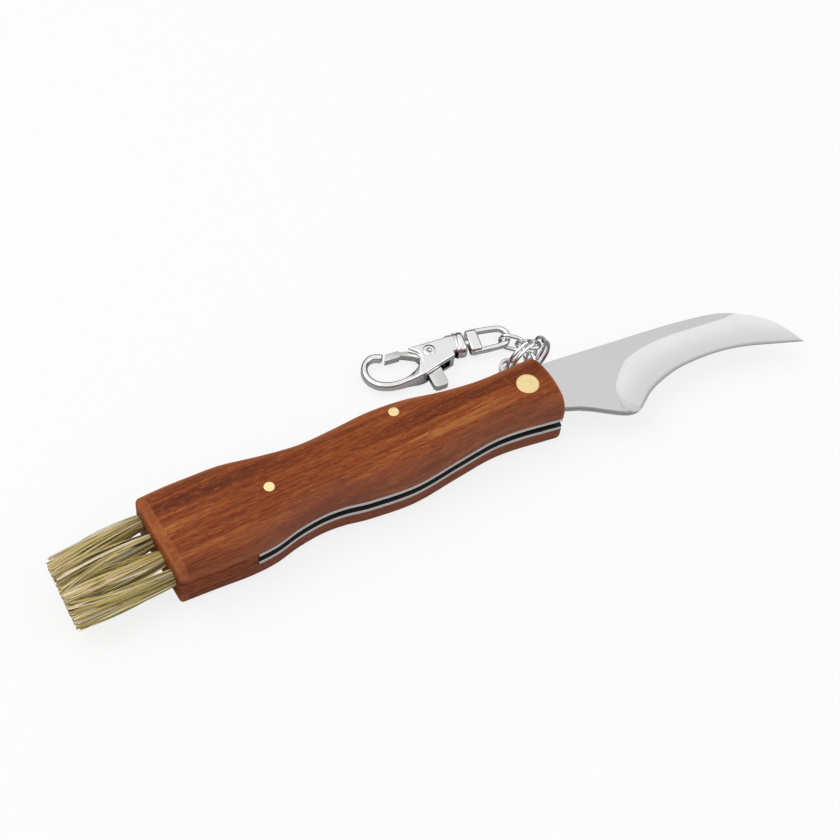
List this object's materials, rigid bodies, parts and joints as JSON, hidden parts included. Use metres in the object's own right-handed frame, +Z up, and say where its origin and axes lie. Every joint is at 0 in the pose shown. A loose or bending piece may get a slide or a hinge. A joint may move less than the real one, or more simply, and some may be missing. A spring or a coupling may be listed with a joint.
{
  "type": "folding_mushroom_knife",
  "caption": "Folding mushroom knife, open: hooked steel blade, wooden scales on steel liners, brass pins, bristle brush in the butt, and a trigger snap hook on a short chain.",
  "frame": {"origin": "where the blade's pivot axis meets the underside of the handle", "axes": "+X along the handle towards the blade's tip, +Y towards the handle's back where the lanyard lug is, +Z up through the two scales"},
  "size_m": [0.2065, 0.054, 0.0175],
  "materials": {
    "wood": "oiled rosewood, satin",
    "end_wood": "oiled rosewood, satin",
    "steel": "polished edges",
    "blade_steel": "satin flats, finely ground bevel",
    "brass": "flush, polished",
    "bristle": "natural bristle, dry",
    "nickel": "nickel plated, bright"
  },
  "bodies": {
    "handle": {"scale_top": "wood", "scale_bottom": "wood", "liner_top": "steel", "liner_bottom": "steel", "butt_block": "end_wood", "back_spring": "steel", "pivot_pin": "brass", "middle_pin": "brass", "butt_pin": "brass", "tuft_1": "bristle", "tuft_2": "bristle", "tuft_3": "bristle", "tuft_4": "bristle"},
    "blade": {"blade": "blade_steel"},
    "ring": {"split_ring": "nickel"},
    "link_1": {"chain_link_1": "nickel"},
    "link_2": {"chain_link_2": "nickel"},
    "link_3": {"chain_link_3": "nickel"},
    "link_4": {"chain_link_4": "nickel"},
    "eye": {"swivel_eye": "nickel"},
    "clasp": {"clasp_body": "nickel", "gate_rivet": "nickel", "gate_spring": "steel"},
    "gate": {"gate_lever": "nickel"}
  },
  "joints": [
    {"name": "blade_fold", "type": "hinge", "parent": "handle", "child": "blade", "pos_m": [0, 0, 0], "axis": [0, 0, -1], "range_deg": [0, 164], "deforming": ["back_spring"]},
    {"name": "ring_swing", "type": "hinge", "parent": "handle", "child": "ring", "pos_m": [0.0021, 0.0107, 0.00875], "axis": [0, 0, 1], "range_deg": [-12, 15]},
    {"name": "link_1_swing", "type": "hinge", "parent": "ring", "child": "link_1", "pos_m": [0.0115, 0.0121, 0.00266], "axis": [0.8985, 0.1343, 0.4179], "range_deg": [-30, 25]},
    {"name": "link_2_swing", "type": "hinge", "parent": "link_1", "child": "link_2", "pos_m": [0.01208, 0.01586, 0.00384], "axis": [0.2551, -0.3253, 0.9106], "range_deg": [-40, 40]},
    {"name": "link_3_swing", "type": "hinge", "parent": "link_2", "child": "link_3", "pos_m": [0.01585, 0.01825, 0.00273], "axis": [-0.2253, 0.6798, 0.698], "range_deg": [-40, 8]},
    {"name": "link_4_swing", "type": "hinge", "parent": "link_3", "child": "link_4", "pos_m": [0.01207, 0.02085, 0.00248], "axis": [-0.5352, -0.7398, 0.4077], "range_deg": [-40, 40]},
    {"name": "eye_swing", "type": "hinge", "parent": "link_4", "child": "eye", "pos_m": [0.00876, 0.02404, 0.00277], "axis": [0.2429, 0.1649, 0.9559], "range_deg": [-40, 18]},
    {"name": "clasp_swivel", "type": "hinge", "parent": "eye", "child": "clasp", "pos_m": [-0.00157, 0.02765, 0.0026], "axis": [0.9703, -0.2419, 0], "continuous": true},
    {"name": "gate_open", "type": "hinge", "parent": "clasp", "child": "gate", "pos_m": [-0.01113, 0.02859, 0.0026], "axis": [0, 0, 1], "range_deg": [0, 28], "stiffness_Nm_per_rad": 0.004, "springref_deg": -20.05, "deforming": ["gate_spring"]}
  ]
}
